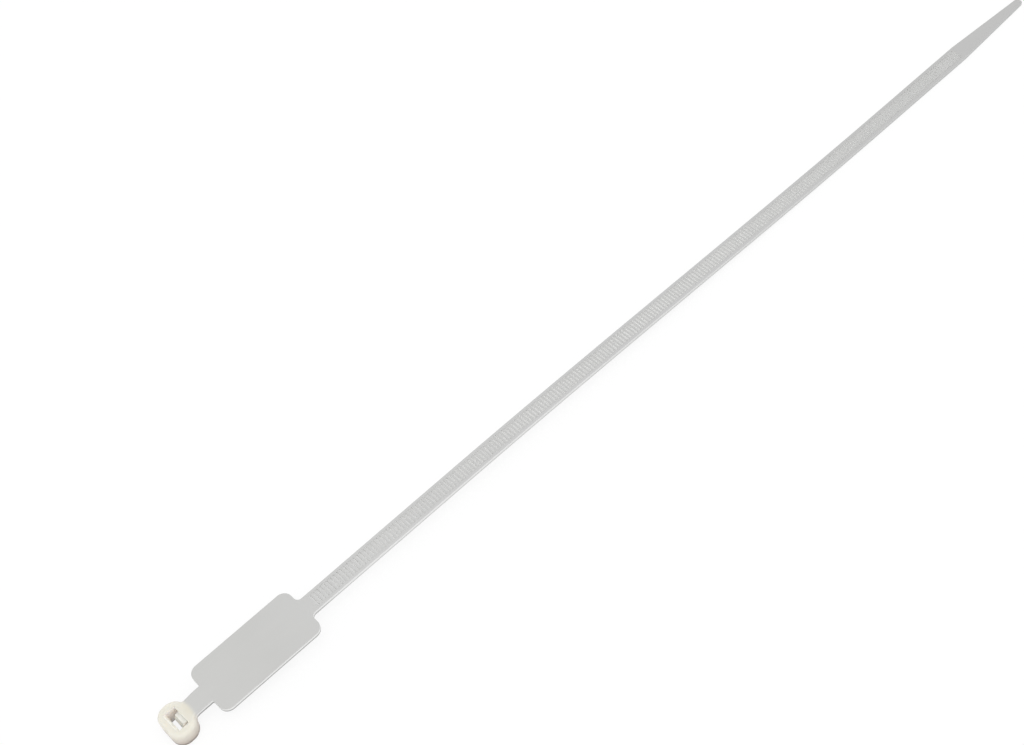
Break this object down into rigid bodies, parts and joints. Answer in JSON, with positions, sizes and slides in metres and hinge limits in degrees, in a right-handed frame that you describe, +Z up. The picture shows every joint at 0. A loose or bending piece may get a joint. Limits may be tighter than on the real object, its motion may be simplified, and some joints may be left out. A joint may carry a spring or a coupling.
{
  "type": "cable tie",
  "caption": "Long flat ratchet cable tie with a locking head, a blank writing plate beside it, a toothed strap and a pointed tail.",
  "frame": {"origin": "middle of the tie's outline seen from above, at the height of the surface it lies on", "axes": "+X along the strap from the head to the tip, +Y across the strap, +Z up out of the toothed face"},
  "size_m": [0.3024, 0.0142, 0.0047],
  "materials": {
    "natural_nylon": "satin, milky and slightly see-through"
  },
  "bodies": {
    "root": {"cable_tie": "natural_nylon"}
  },
  "joints": []
}
